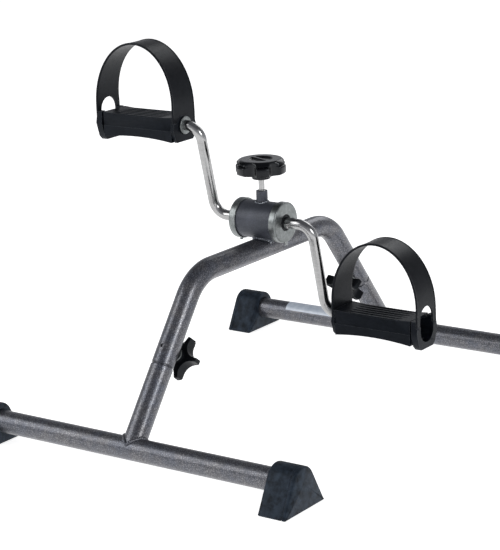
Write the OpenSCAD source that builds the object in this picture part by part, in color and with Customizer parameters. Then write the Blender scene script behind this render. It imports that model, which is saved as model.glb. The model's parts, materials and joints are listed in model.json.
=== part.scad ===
// Pedal exerciser: a bent tube arch on two floor bars, with a crank, two pedals and a brake knob.
// Axes: X along the crank, +X to the right pedal; -Y is the front; +Z up from the floor under the hub.

/* [Floor bars] */
// Outside diameter of every frame tube
tube_d = 22.2; // [20:0.1:25.4]
// Wall of every frame tube
tube_wall = 1.5; // [1:0.1:2]
// Distance between the axes of the two floor bars
bar_span = 448; // [420:1:480]
// Length of one bar over its feet
bar_len = 388; // [340:1:440]
// Height of a bar's axis above the floor
bar_z = 23.6; // [22:0.1:25]

/* [Feet] */
// Width of a foot on the floor
foot_w = 62; // [50:1:70]
// Length of a foot along the bar
foot_len = 30; // [26:1:40]
// Radius of a foot's round top
foot_r = 16; // [15:0.5:18]
// Depth of the hole that takes the bar
foot_bore_depth = 25; // [20:1:25]

/* [Legs and arch] */
// Slope of a leg above the floor, in degrees
leg_angle = 52.4; // [48:0.1:56]
// Height of the arch's top axis
arch_z = 166.5; // [150:0.5:180]
// Centreline radius of the two bends
bend_r = 50; // [45:1:60]
// Distance up the leg from the bar's axis to the open end of the arch tube
joint_s = 85; // [75:1:90]
// Width of the gap between stub and arch tube
joint_gap = 1.2; // [0.5:0.1:1.5]
// Height and depth of the eased shoulder at the stub's top
shoulder = 1; // [0.5:0.1:1.2]
// Outside diameter of the spigot inside the arch tube
spigot_d = 19.1; // [18.9:0.05:19.15]
// Wall of the spigot
spigot_wall = 1.5; // [1:0.1:2]
// Distance up the leg to the upper end of the spigot
spigot_top_s = 145; // [125:1:150]

/* [Hub] */
// Height of the crank's axis
hub_z = 194.5; // [192:0.1:195]
// Length of the hub over its caps
hub_len = 56; // [50:1:60]
// Outside diameter of the barrel
barrel_d = 38; // [36:0.5:40]
// Wall of the barrel
barrel_wall = 2; // [1.5:0.1:2.5]
// Outside diameter of a cap
cap_d = 41; // [40.5:0.1:43]
// Width of a cap's rim along the barrel
cap_rim = 7.5; // [6:0.5:9]
// Sheet thickness of a cap
cap_t = 1.5; // [1:0.1:1.5]
// Diameter of the hole in a cap
cap_hole_d = 16.5; // [15:0.1:18]

/* [Crank] */
// Diameter of the crank's rod
rod_d = 10.5; // [10:0.1:11]
// Radial clearance between the rod and what it turns in
run_gap = 0.05; // [0.03:0.01:0.1]
// Distance from hub axis to pedal axis
crank_r = 96.5; // [80:0.5:110]
// Distance of each arm's axis from the middle
arm_x = 58; // [56:0.5:62]
// Centreline radius of the rod's bends
rod_bend_r = 15; // [13:0.5:15]
// Lean of the crank from upright, in degrees
crank_lean = 13; // [0:1:60]
// Distance from the middle to a spindle's end
spindle_end_x = 158; // [155:1:160]

/* [Pedals] */
// Distance from the middle to a pedal's inner face
pedal_in_x = 76; // [76:0.5:78]
// Length of a pedal over its end plates
pedal_len = 99; // [95:1:105]
// Half width of a pedal's body
pedal_half_w = 17.3; // [16:0.1:18]
// Height of the tread above the spindle axis
tread_z = 8; // [7:0.5:9]
// Depth of the body's ends below the spindle axis
pedal_drop = 15.5; // [15:0.5:17]
// Height of the strap's apex above the spindle axis
strap_top = 82; // [70:1:90]
// Thickness of the strap
strap_t = 2.2; // [1.8:0.1:2.4]
// Half width of the strap at the pedal
strap_half_w = 18; // [16:0.5:19]
// Half width of the strap at its apex
strap_top_half_w = 15; // [12:0.5:17]

/* [Knobs] */
// Diameter of the tension knob
tension_d = 51; // [45:1:56]
// Height of the tension knob's top face
tension_top_z = 257; // [254:0.5:262]
// Travel of the brake block each way, at one turn a millimetre
brake_travel = 1.5; // [1:0.5:1.5]
// Tip radius of a clamp knob
star_r = 22; // [20:0.5:24]
// Distance up the leg to a clamp knob
star_s = 101; // [98:0.5:105]
// Thickness of a clamp knob's star
star_t = 11.5; // [9:0.5:13]

/* [Hidden] */
$fn = 64;
eps = 0.01;
touch_gap = 0.3;
tube_r = tube_d / 2;
bore_r = tube_r - tube_wall;
bend_proud = 0.04;
bend_lap = 1;
root_gap = 0.05;
spigot_r = spigot_d / 2;
spigot_bore_r = spigot_r - spigot_wall;
// half the angle between leg and top, and what the bend takes from each
bend_tangent = bend_r * tan(leg_angle / 2);
leg_len = (arch_z - bar_z) / sin(leg_angle);
leg_straight_s = leg_len - bend_tangent;
top_half = bar_span / 2 - leg_len * cos(leg_angle) - bend_tangent;
barrel_r = barrel_d / 2;
barrel_bore_r = barrel_r - barrel_wall;
cap_r = cap_d / 2;
cap_in_x = hub_len / 2 - cap_t;
rod_r = rod_d / 2;
rod_bore_r = rod_r + run_gap;
sleeve_r = 7.5;
sleeve_half = 17;
boss_r = 5.75;
boss_top_z = 224.5;
m6_r = 2.95;
m6_bore_r = 3;
block_r = 6;
block_top = 14;
block_socket = 1.5;
tension_low_z = 242.5;
tension_neck_z = 236.6;
tension_neck_r = 9.3;
tension_lobes = 6;
m8_r = 3.95;
m8_bore_r = 4;
m8_hole_r = 4.2;
weld_hole_r = 2;
washer_r = 7.8;
washer_t = 1.5;
washer_d = tube_r + touch_gap;
star_neck_d = washer_d + washer_t + touch_gap;
star_low_d = 16.5;
star_lobes = 5;
pedal_out_x = pedal_in_x + pedal_len;
pedal_mid_x = pedal_in_x + pedal_len / 2;
plate_in_t = 3.3;
plate_out_t = 7;
groove_out_w = 2;
plate_top = 10;
lap_z = 3.5;
lap_notch_r = 12;
window_r = 12;
window_z = 10;
hollow_in_x = 149;
hollow_top_z = tread_z - 0.8;
clip_r = 6.7;
spindle_tube_r = 7.5;

// ---- shared frames and shapes ----

// A cylinder along X from x0 to x1.
module rod_x(r, x0, x1) {
    translate([x0, 0, 0])
        rotate([0, 90, 0])
            cylinder(r = r, h = x1 - x0);
}

// A straight tube along Z.
module tube(r, inner_r, z0, z1) {
    translate([0, 0, z0])
        difference() {
            cylinder(r = r, h = z1 - z0);
            translate([0, 0, -1])
                cylinder(r = inner_r, h = z1 - z0 + 2);
        }
}

// Turns the front half's children to the rear when rear is true.
module at_end(rear) {
    rotate([0, 0, rear ? 180 : 0])
        children();
}

// Leg frame: +Z runs up the leg from the bar's axis and +Y points under the arch.
module leg_frame(rear) {
    at_end(rear)
        translate([0, -bar_span / 2, bar_z])
            rotate([leg_angle - 90, 0, 0])
                children();
}

// Clamp frame: +Z runs out of the leg under the arch, +X is the world's, from the leg's axis.
module clamp_frame(rear) {
    leg_frame(rear)
        translate([0, 0, star_s])
            rotate([-90, 0, 0])
                children();
}

// Pedal frame: +X points away from the crank, the origin is on the spindle's axis at the middle.
module pedal_frame(left) {
    rise = left ? 1 : -1;
    translate([0, -rise * crank_r * sin(crank_lean), hub_z + rise * crank_r * cos(crank_lean)])
        rotate([0, 0, left ? 180 : 0])
            children();
}

// ---- frame ----

// Arch tube: a top straight, two bends and two open legs. The bends stand a hair
// proud, as bent tube does, and the straights reach into them, so that every joint is one clean overlap.
module arch_path() {
    straight_r = tube_r - bend_proud;
    straight_bore_r = bore_r + bend_proud;
    rotate([90, 0, 0])
        translate([0, arch_z, 0])
            tube(straight_r, straight_bore_r, -top_half - bend_lap, top_half + bend_lap);
    for (rear = [false, true]) {
        at_end(rear)
            translate([0, -top_half, arch_z - bend_r])
                rotate([0, -90, 0])
                    rotate([0, 0, -leg_angle])
                        rotate_extrude(angle = leg_angle)
                            translate([bend_r, 0])
                                difference() {
                                    circle(r = tube_r);
                                    circle(r = bore_r);
                                }
        leg_frame(rear)
            tube(straight_r, straight_bore_r, joint_s, leg_straight_s + bend_lap);
    }
}

module arch_tube() {
    color("slategray")
        difference() {
            arch_path();
            // saddle that the barrel sits in
            translate([0, 0, hub_z])
                rod_x(barrel_r, -tube_d, tube_d);
            // clamp hole in the inner wall of each leg, and a small hole in the outer wall opposite
            for (rear = [false, true])
                clamp_frame(rear) {
                    cylinder(r = m8_hole_r, h = tube_d);
                    rotate([180, 0, 0])
                        cylinder(r = weld_hole_r, h = tube_d);
                }
        }
}

module hub_barrel() {
    color("dimgray")
        translate([0, 0, hub_z])
            difference() {
                rod_x(barrel_r, -cap_in_x, cap_in_x);
                rod_x(barrel_bore_r, -hub_len, hub_len);
                cylinder(r = m6_bore_r, h = barrel_d);
            }
}

// Fillet bead in the wedge all round the seat of the barrel.
module hub_weld() {
    bead_r = 12.5;
    bead_low = 171.5;
    color("gray")
        difference() {
            intersection() {
                translate([0, 0, arch_z + tube_r])
                    sphere(r = bead_r);
                translate([-bead_r, -bead_r, bead_low])
                    cube([2 * bead_r, 2 * bead_r, bead_r]);
            }
            translate([0, 0, hub_z])
                rod_x(barrel_r, -tube_d, tube_d);
            translate([0, tube_d, arch_z])
                rotate([90, 0, 0])
                    cylinder(r = tube_r, h = 2 * tube_d);
        }
}

module tension_boss() {
    color("gray")
        difference() {
            translate([0, 0, hub_z + barrel_bore_r])
                cylinder(r = boss_r, h = boss_top_z - hub_z - barrel_bore_r);
            translate([0, 0, hub_z])
                rod_x(barrel_r, -tube_d, tube_d);
            translate([0, 0, hub_z])
                cylinder(r = m6_bore_r, h = tube_d * 2);
        }
}

// Pressed cap: a rim over the barrel, a face with a hole, and a bent lug under the rim.
module hub_cap(side) {
    lug_w = 4;
    lug_drop = 2.5;
    color("silver")
        translate([0, 0, hub_z])
            mirror([side < 0 ? 1 : 0, 0, 0]) {
                difference() {
                    rod_x(cap_r, hub_len / 2 - cap_rim, hub_len / 2);
                    rod_x(barrel_r, 0, cap_in_x);
                    rod_x(cap_hole_d / 2, 0, hub_len);
                }
                translate([hub_len / 2 - cap_t, -lug_w / 2, -cap_r - lug_drop])
                    cube([cap_t, lug_w, lug_drop + 1]);
            }
}

// Bush: fills the barrel's end, and its nose shows in the cap's hole.
module hub_bush(side) {
    nose_end = hub_len / 2 - 0.6;
    color("black")
        translate([0, 0, hub_z])
            mirror([side < 0 ? 1 : 0, 0, 0])
                difference() {
                    union() {
                        rod_x(barrel_bore_r, sleeve_half, cap_in_x);
                        rod_x(cap_hole_d / 2, sleeve_half, nose_end);
                    }
                    rod_x(rod_bore_r, 0, hub_len);
                }
}

module brake_sleeve() {
    color("ivory")
        translate([0, 0, hub_z])
            difference() {
                rod_x(sleeve_r, -sleeve_half, sleeve_half);
                rod_x(rod_bore_r, -hub_len, hub_len);
            }
}

// Welded nut inside the spigot, shaped to its round wall.
module clamp_nut(rear) {
    nut_r = 7.2;
    nut_low = 1;
    color("silver")
        difference() {
            intersection() {
                clamp_frame(rear)
                    translate([0, 0, nut_low])
                        cylinder(r = nut_r, h = spigot_bore_r - nut_low, $fn = 6);
                leg_frame(rear)
                    translate([0, 0, star_s - 2 * nut_r])
                        cylinder(r = spigot_bore_r, h = 4 * nut_r);
            }
            clamp_frame(rear)
                translate([0, 0, -tube_d])
                    cylinder(r = m8_bore_r, h = 2 * tube_d);
        }
}

// ---- bases ----

// Stub welded on the bar, with an eased shoulder and the smaller spigot that enters the arch tube.
module leg_stub(rear) {
    shoulder_s = joint_s - joint_gap;
    color("slategray")
        difference() {
            leg_frame(rear)
                difference() {
                    union() {
                        cylinder(r = tube_r, h = shoulder_s - shoulder);
                        translate([0, 0, shoulder_s - shoulder])
                            cylinder(r1 = tube_r, r2 = tube_r - shoulder, h = shoulder);
                        cylinder(r = spigot_r, h = spigot_top_s);
                    }
                    translate([0, 0, -1])
                        cylinder(r = spigot_bore_r, h = spigot_top_s + 2);
                }
            // cope that fits the bar, with a root gap for the weld
            at_end(rear)
                translate([0, -bar_span / 2, bar_z])
                    rod_x(tube_r + root_gap, -tube_d, tube_d);
            clamp_frame(rear)
                cylinder(r = m8_hole_r, h = tube_d);
        }
}

// Weld bead round the foot of the stub.
module stub_weld(rear) {
    bead = 2.6;
    bead_top = tube_r + 2.2;
    color("gray")
        difference() {
            leg_frame(rear)
                translate([0, 0, 2])
                    cylinder(r1 = tube_r + bead, r2 = tube_r, h = bead_top);
            leg_frame(rear)
                cylinder(r = tube_r, h = joint_s);
            at_end(rear)
                translate([0, -bar_span / 2, bar_z])
                    rod_x(tube_r, -tube_d, tube_d);
        }
}

module floor_bar(rear) {
    half = bar_len / 2 - foot_len + foot_bore_depth;
    color("slategray")
        at_end(rear)
            translate([-half, -bar_span / 2, bar_z])
                rotate([0, 90, 0])
                    tube(tube_r, bore_r, 0, 2 * half);
}

// Foot: the sides rise from the floor and run tangent into a round top.
module foot(rear, side) {
    top_z = bar_z + 1.9;
    corner_h = 2;
    reach = sqrt(pow(foot_w / 2, 2) + pow(top_z - corner_h, 2));
    tangent_a = acos(foot_r / reach) - atan2(top_z - corner_h, foot_w / 2);
    color("darkslategray")
        translate([0, (rear ? 1 : -1) * bar_span / 2, 0])
            mirror([side < 0 ? 1 : 0, 0, 0])
                difference() {
                    translate([bar_len / 2 - foot_len, 0, 0])
                        rotate([90, 0, 90])
                            linear_extrude(height = foot_len)
                                union() {
                                    translate([0, top_z])
                                        circle(r = foot_r);
                                    polygon([
                                        [-foot_w / 2, 0],
                                        [foot_w / 2, 0],
                                        [foot_w / 2, corner_h],
                                        [foot_r * cos(tangent_a), top_z + foot_r * sin(tangent_a)],
                                        [-foot_r * cos(tangent_a), top_z + foot_r * sin(tangent_a)],
                                        [-foot_w / 2, corner_h]
                                    ]);
                                }
                    translate([0, 0, bar_z])
                        rod_x(tube_r, 0, bar_len / 2 - foot_len + foot_bore_depth);
                }
}

// Blank label: a thin sheet bent round the front of the rear bar, from its top.
module blank_label() {
    label_t = 0.25;
    label_x0 = -127;
    label_len = 60;
    label_start = 80;
    label_sweep = 75;
    color("lightsteelblue")
        translate([label_x0, bar_span / 2, bar_z])
            rotate([90, 0, 90])
                rotate_extrude(angle = label_sweep, start = label_start)
                    translate([tube_r, 0])
                        square([label_t, label_len]);
}

// ---- crank ----

// A quarter bend of the rod in the XZ plane, centred at (x, z), from angle a0.
module rod_bend(x, z, a0) {
    translate([x, 0, z])
        rotate([90, 0, 0])
            rotate([0, 0, a0])
                rotate_extrude(angle = 90)
                    translate([rod_bend_r, 0])
                        circle(r = rod_r);
}

// Half of the crank: from the middle out to the arm, up the arm and out along the spindle.
module half_crank() {
    bend_in_x = arm_x - rod_bend_r;
    bend_out_x = arm_x + rod_bend_r;
    rod_x(rod_r, 0, bend_in_x);
    rod_bend(bend_in_x, rod_bend_r, -90);
    translate([arm_x, 0, rod_bend_r])
        cylinder(r = rod_r, h = crank_r - 2 * rod_bend_r);
    rod_bend(bend_out_x, crank_r - rod_bend_r, 90);
    translate([0, 0, crank_r])
        rod_x(rod_r, bend_out_x, spindle_end_x);
}

// Staked ears: the rod squeezed flat on both sides, which keeps the crank from sliding out.
module staked_ears() {
    ear_x = 32.5;
    intersection() {
        translate([ear_x, 0, 0])
            cube([4, 15, 5], center = true);
        translate([ear_x, 0, 0])
            sphere(r = 7.5);
    }
}

module crankshaft() {
    color("lightgray")
        translate([0, 0, hub_z])
            rotate([crank_lean, 0, 0])
                for (turn = [0, 180])
                    rotate([0, turn, 0]) {
                        rotate([180, 0, 0])
                            half_crank();
                        staked_ears();
                    }
}

module pedal_washer(left) {
    color("silver")
        pedal_frame(left)
            difference() {
                rod_x(9, pedal_in_x - 2.1, pedal_in_x - touch_gap);
                rod_x(rod_r, 0, pedal_in_x);
            }
}

// Push-on cap over the spindle's end: a dished flange and a domed middle.
module end_clip(left) {
    flange_x = hollow_in_x + touch_gap;
    color("silver")
        pedal_frame(left)
            difference() {
                union() {
                    rod_x(clip_r, flange_x, flange_x + 1.2);
                    rod_x(rod_r + 0.9, flange_x, spindle_end_x + 1);
                }
                rod_x(rod_r, 0, spindle_end_x);
            }
}

// ---- pedals ----

// Outline of the inner end plate, in Y and Z about the spindle.
module inner_plate_outline() {
    polygon([[-13, -16], [13, -16], [15.5, -13.5], [19, -2], [17.5, 3], [17.5, plate_top],
        [-17.5, plate_top], [-17.5, 3], [-19, -2], [-15.5, -13.5]]);
}

// Outline of the outer end plate, a little deeper than the inner one.
module outer_plate_outline() {
    polygon([[-11, -20], [11, -20], [15, -16], [19, -2], [18, 3], [18, plate_top],
        [-18, plate_top], [-18, 3], [-19, -2], [-15, -16]]);
}

// The bullet-shaped opening of the outer end, in Y and Z.
module end_window() {
    translate([0, window_z])
        circle(r = window_r);
    translate([-window_r, -2])
        square([2 * window_r, window_z + 2]);
    translate([0, -2])
        circle(r = window_r);
}

// Extrudes a Y-Z outline along X from x0 to x1.
module along_x(x0, x1) {
    translate([x0, 0, 0])
        rotate([90, 0, 90])
            linear_extrude(height = x1 - x0)
                children();
}

// Long block that the tread, the side bands and the end plates make up, before it is hollowed.
module pedal_block() {
    mid_x0 = pedal_in_x + plate_in_t;
    mid_x1 = pedal_out_x - plate_out_t - groove_out_w;
    band_z = -4;
    side_half = pedal_half_w + 0.6;
    along_x(pedal_in_x, mid_x0)
        inner_plate_outline();
    along_x(mid_x1 + groove_out_w, pedal_out_x)
        outer_plate_outline();
    difference() {
        union() {
            translate([mid_x0 + 0.5, -pedal_half_w, band_z])
                cube([mid_x1 - mid_x0 - 0.5, 2 * pedal_half_w, plate_top - band_z]);
            translate([mid_x0 + 0.5, -side_half, -pedal_drop])
                cube([mid_x1 - mid_x0 - 0.5, 2 * side_half, band_z + pedal_drop]);
            translate([mid_x0 - 1, -15, -13])
                cube([mid_x1 + groove_out_w - mid_x0 + 2, 30, 20]);
        }
        sag_cut(mid_x1 - mid_x0, plate_top - tread_z, tread_z, 1);
        sag_cut(mid_x1 - mid_x0, 3, -pedal_drop + 3, -1);
    }
}

// A wide round cutter over (dir 1) or under (dir -1) the body, which leaves it sag lower at mid length.
module sag_cut(chord, sag, level, dir) {
    cut_r = (pow(chord / 2, 2) + pow(sag, 2)) / (2 * sag);
    translate([pedal_mid_x - 2, 25, level + dir * cut_r])
        rotate([90, 0, 0])
            cylinder(r = cut_r, h = 50, $fn = 360);
}

// Ribs along the tread.
module tread_ribs() {
    rib_w = 1.6;
    rib_x0 = pedal_in_x + 8;
    rib_x1 = pedal_out_x - 14;
    for (y = [-15.5 : 6.2 : 15.5])
        translate([rib_x0, y - rib_w / 2, tread_z - 2])
            cube([rib_x1 - rib_x0, rib_w, 3.2]);
}

// Pockets under the tread, three bays on each side of the spindle tube.
module under_pockets() {
    bay = 22;
    for (i = [0 : 2], side = [-1, 1])
        translate([pedal_in_x + 6 + i * (bay + 2), side < 0 ? -15 : spindle_tube_r, -30])
            cube([bay, 15 - spindle_tube_r, 30 + tread_z - 3]);
}

module pedal_body(left) {
    color("darkslategray")
        pedal_frame(left)
            difference() {
                union() {
                    pedal_block();
                    tread_ribs();
                }
                under_pockets();
                rod_x(rod_bore_r, 0, pedal_out_x + 1);
                along_x(pedal_out_x - plate_out_t - groove_out_w, pedal_out_x + 1)
                    end_window();
                along_x(hollow_in_x, pedal_out_x)
                    intersection() {
                        end_window();
                        translate([-20, -30])
                            square([40, 30 + hollow_top_z]);
                    }
                // seats for the strap's two ends
                along_x(0, pedal_in_x + strap_t)
                    inner_lap();
                along_x(pedal_out_x - strap_t, pedal_out_x + 1)
                    translate([-30, lap_z])
                        square([60, 40]);
            }
}

// Area of the inner end plate that the strap's end covers, in Y and Z.
module inner_lap() {
    difference() {
        translate([-30, lap_z])
            square([60, 40]);
        circle(r = lap_notch_r);
    }
}

// Side view of the strap in X and Z: straight sides and a half ellipse, grown inwards by t.
module strap_arch(t) {
    half = pedal_len / 2 - t;
    spring_z = 20;
    rise = strap_top - spring_z - t;
    steps = 48;
    polygon(concat(
        [[half, lap_z - 10 * t]],
        [for (i = [0 : steps]) let (a = 180 * i / steps) [half * cos(a), spring_z + rise * sin(a)]],
        [[-half, lap_z - 10 * t]]
    ));
}

// Moulded foot loop: an arched band, narrower at its apex, with a notch and a window in its ends.
module strap(left) {
    pin_r = 1.8;
    color("darkslategray")
        pedal_frame(left)
            difference() {
                intersection() {
                    translate([pedal_mid_x, 30, 0])
                        rotate([90, 0, 0])
                            linear_extrude(height = 60)
                                difference() {
                                    strap_arch(0);
                                    strap_arch(strap_t);
                                }
                    along_x(0, pedal_out_x + 1)
                        polygon([[-strap_half_w, lap_z], [strap_half_w, lap_z], [strap_half_w, 14],
                            [strap_top_half_w, strap_top + 1], [-strap_top_half_w, strap_top + 1],
                            [-strap_half_w, 14]]);
                }
                rod_x(lap_notch_r, 0, pedal_mid_x);
                along_x(pedal_mid_x, pedal_out_x + 1)
                    end_window();
                translate([0, -15, 11])
                    rod_x(pin_r, pedal_mid_x, pedal_out_x + 1);
            }
}

// ---- brake and tension knob ----

// Block with a hollow underside that fits the sleeve, and a socket for the screw's tip.
module brake_block() {
    block_low = sleeve_r + touch_gap + brake_travel - 3;
    color("sienna")
        translate([0, 0, hub_z])
            difference() {
                translate([0, 0, block_low])
                    cylinder(r = block_r, h = block_top - block_low);
                translate([0, 0, brake_travel])
                    rod_x(sleeve_r + touch_gap, -tube_d, tube_d);
                translate([0, 0, block_top - block_socket])
                    cylinder(r = m6_bore_r + touch_gap, h = tube_d);
            }
}

module tension_screw() {
    screw_low = hub_z + block_top - block_socket + touch_gap;
    color("silver")
        translate([0, 0, screw_low])
            cylinder(r = m6_r, h = tension_low_z + 6 - screw_low);
}

// Knob with six lobes, a neck, and a dished top crossed by a rib.
module tension_knob() {
    lobe_turn = -50.5;
    scallop_r = 9;
    scallop_at = 30.5;
    dish_r = 12.5;
    dish_depth = 4;
    rib_w = 2.2;
    top_r = 21;
    color("black") {
        difference() {
            union() {
                translate([0, 0, tension_neck_z])
                    cylinder(r = tension_neck_r, h = tension_low_z - tension_neck_z + 2);
                translate([0, 0, tension_low_z])
                    cylinder(r1 = tension_d / 2 - 1.5, r2 = tension_d / 2, h = 3);
                translate([0, 0, tension_low_z + 3])
                    cylinder(r = tension_d / 2, h = 5);
                translate([0, 0, tension_low_z + 8])
                    cylinder(r1 = tension_d / 2, r2 = top_r, h = tension_top_z - tension_low_z - 8);
            }
            for (i = [0 : tension_lobes - 1])
                rotate([0, 0, lobe_turn + (i + 0.5) * 360 / tension_lobes])
                    translate([scallop_at, 0, tension_low_z - 1])
                        cylinder(r = scallop_r, h = tension_top_z - tension_low_z - 3);
            translate([0, 0, tension_top_z - dish_depth])
                cylinder(r = dish_r, h = dish_depth + 1);
            translate([0, 0, tension_neck_z - 1])
                cylinder(r = m6_r, h = tension_low_z + 6 - tension_neck_z + 1);
        }
        rotate([0, 0, -54])
            translate([-dish_r - 0.5, -rib_w / 2, tension_top_z - dish_depth - eps])
                cube([2 * dish_r + 1, rib_w, dish_depth - 0.5]);
    }
}

// ---- clamps ----

module clamp_washer(rear) {
    color("silver")
        clamp_frame(rear)
            tube(washer_r, m8_bore_r + 0.1, washer_d, washer_d + washer_t);
}

module clamp_screw(rear) {
    screw_tip = -2;
    color("silver")
        clamp_frame(rear)
            translate([0, 0, screw_tip])
                cylinder(r = m8_r, h = star_low_d + 7 - screw_tip);
}

// Star knob: round cuts between five lobes, on a short neck.
module clamp_knob(rear) {
    first_lobe = rear ? 55 : 73;
    cut_at = 21;
    cut_r = 10;
    chamfer = 3;
    color("black")
        clamp_frame(rear)
            difference() {
                union() {
                    translate([0, 0, star_neck_d])
                        cylinder(r = 7.5, h = star_low_d - star_neck_d + 1);
                    translate([0, 0, star_low_d])
                        cylinder(r = star_r, h = star_t - chamfer);
                    translate([0, 0, star_low_d + star_t - chamfer])
                        cylinder(r1 = star_r, r2 = star_r - chamfer, h = chamfer);
                }
                for (i = [0 : star_lobes - 1])
                    rotate([0, 0, first_lobe + (i + 0.5) * 360 / star_lobes])
                        translate([cut_at, 0, star_low_d - 1])
                            cylinder(r = cut_r, h = star_t + 2);
                translate([0, 0, star_neck_d - 1])
                    cylinder(r = m8_r, h = star_low_d + 8 - star_neck_d);
            }
}

arch_tube();
hub_barrel();
hub_weld();
tension_boss();
hub_cap(-1);  // left_hub_cap
hub_cap(1);  // right_hub_cap
hub_bush(-1);  // left_hub_bush
hub_bush(1);  // right_hub_bush
brake_sleeve();
clamp_nut(false);  // front_clamp_nut
clamp_nut(true);  // rear_clamp_nut
leg_stub(false);  // front_leg_stub
leg_stub(true);  // rear_leg_stub
stub_weld(false);  // front_stub_weld
stub_weld(true);  // rear_stub_weld
floor_bar(false);  // front_floor_bar
floor_bar(true);  // rear_floor_bar
foot(false, -1);  // front_left_foot
foot(false, 1);  // front_right_foot
foot(true, -1);  // rear_left_foot
foot(true, 1);  // rear_right_foot
blank_label();
crankshaft();
pedal_washer(true);  // left_pedal_washer
pedal_washer(false);  // right_pedal_washer
end_clip(true);  // left_end_clip
end_clip(false);  // right_end_clip
pedal_body(true);  // left_pedal_body
pedal_body(false);  // right_pedal_body
strap(true);  // left_strap
strap(false);  // right_strap
brake_block();
tension_screw();
tension_knob();
clamp_washer(false);  // front_clamp_washer
clamp_screw(false);  // front_clamp_screw
clamp_knob(false);  // front_clamp_knob
clamp_washer(true);  // rear_clamp_washer
clamp_screw(true);  // rear_clamp_screw
clamp_knob(true);  // rear_clamp_knob
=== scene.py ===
# %% [markdown]
# A small pedal exerciser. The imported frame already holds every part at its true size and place, so this
# lesson builds only what makes the parts look real: finishes worked out by nodes, and finer surfaces for
# the moulded, cast and welded pieces. Everything is in metres, with +X along the crank and -Y the front.

# %% Frame
import json

import bmesh
import bpy
import numpy as np
from mathutils import Matrix, Vector


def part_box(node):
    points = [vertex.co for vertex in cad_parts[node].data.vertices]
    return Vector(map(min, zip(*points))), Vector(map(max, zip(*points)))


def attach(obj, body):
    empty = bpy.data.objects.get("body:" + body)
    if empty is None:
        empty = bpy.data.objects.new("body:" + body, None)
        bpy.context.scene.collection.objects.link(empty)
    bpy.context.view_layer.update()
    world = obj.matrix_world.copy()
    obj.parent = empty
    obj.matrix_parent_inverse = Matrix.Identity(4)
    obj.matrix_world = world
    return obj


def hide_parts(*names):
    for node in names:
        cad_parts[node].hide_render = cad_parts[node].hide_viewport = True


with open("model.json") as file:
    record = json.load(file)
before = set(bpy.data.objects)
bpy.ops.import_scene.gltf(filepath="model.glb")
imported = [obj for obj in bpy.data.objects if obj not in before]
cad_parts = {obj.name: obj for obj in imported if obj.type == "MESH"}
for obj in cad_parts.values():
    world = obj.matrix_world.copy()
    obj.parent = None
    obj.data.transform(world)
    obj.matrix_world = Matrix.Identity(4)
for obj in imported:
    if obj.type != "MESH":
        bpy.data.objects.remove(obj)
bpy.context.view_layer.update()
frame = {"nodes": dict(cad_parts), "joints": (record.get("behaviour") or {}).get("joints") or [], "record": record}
nodes = frame["nodes"]
joints = {j["name"]: j for j in frame["joints"]}
MM = 0.001
TURN = 2 * np.pi

# %% [markdown]
# Every new piece is a surface: a grid of points worked out as whole arrays. One helper turns such a grid
# into a mesh. A grid can be closed round one way or both ways, and an open end can be shut with a cap, a
# fan of triangles to one middle point, so that each piece is a closed solid.

# %% Grid to mesh
def grid_faces(rows, cols, wrap_rows, wrap_cols):
    """Quads of a grid of points: each joins a point to the next in its row and in its column."""
    i = np.arange(rows if wrap_rows else rows - 1)
    j = np.arange(cols if wrap_cols else cols - 1)
    a, b = np.meshgrid(i, j, indexing="ij")
    a2, b2 = (a + 1) % rows, (b + 1) % cols
    quads = np.stack([a * cols + b, a * cols + b2, a2 * cols + b2, a2 * cols + b], -1)
    return quads.reshape(-1, 4)


print("a closed ring of 4 rows and 6 columns has", len(grid_faces(4, 6, True, True)), "quads")


def shell(points, wrap_rows=False, caps=(False, False)):
    """One closed surface: rows of rings, each ring closed round. A cap is a fan to the ring's middle."""
    points = np.asarray(points, float)
    rows, cols = points.shape[:2]
    verts = points.reshape(-1, 3)
    faces = grid_faces(rows, cols, wrap_rows, True).tolist()
    ring = np.arange(cols)
    for end, wanted in enumerate(caps):
        if wanted:
            base = 0 if end == 0 else (rows - 1) * cols
            middle = len(verts)
            verts = np.vstack([verts, points[0 if end == 0 else -1].mean(0)])
            first, second = base + ring, base + np.roll(ring, -1)
            fan = [first, second] if end else [second, first]
            faces += np.stack(fan + [np.full(cols, middle)], -1).tolist()
    return verts, faces


# %% [markdown]
# A piece is often several such surfaces, and each has to face outwards, because lighting, export and
# printing all go by a face's front. The sign of the enclosed volume shows which way a surface faces. The
# last helper makes the Blender object, gives it its finish and ties it to the frame: the body that it rides
# on, and the plain nodes that it stands for, which it hides.

# %% From surfaces to a piece
def join(parts):
    """Several shells as one: their points end to end, their faces renumbered."""
    verts, faces, base = [], [], 0
    for v, f in parts:
        verts.append(v)
        faces += [[k + base for k in face] for face in f]
        base += len(v)
    return np.vstack(verts), faces


def outward(verts, faces):
    """Turns a shell's faces round if the volume that they enclose comes out negative."""
    tri = np.array([[f[0], f[k], f[k + 1]] for f in faces for k in range(1, len(f) - 1)])
    a, b, c = verts[tri[:, 0]], verts[tri[:, 1]], verts[tri[:, 2]]
    volume = np.einsum("ij,ij->i", a, np.cross(b, c)).sum() / 6
    return (verts, faces) if volume > 0 else (verts, [f[::-1] for f in faces])


def piece(name, parts, material, body, replaced, smooth=35.0):
    """Makes the object, gives it its finish and ties it to the frame; the nodes that it replaces are hidden."""
    verts, faces = join([outward(*p) for p in parts])
    mesh = bpy.data.meshes.new(name)
    mesh.from_pydata(verts.tolist(), [], faces)
    mesh.update()
    obj = bpy.data.objects.new(name, mesh)
    bpy.context.scene.collection.objects.link(obj)
    mesh.shade_smooth()
    mesh.set_sharp_from_angle(angle=np.radians(smooth))
    mesh.materials.append(material)
    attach(obj, body)
    if replaced:
        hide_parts(*replaced)
    size = np.ptp(verts, axis=0) / MM
    print(f"{name}: {len(faces)} faces, {size[0]:.1f} x {size[1]:.1f} x {size[2]:.1f} mm")


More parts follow.
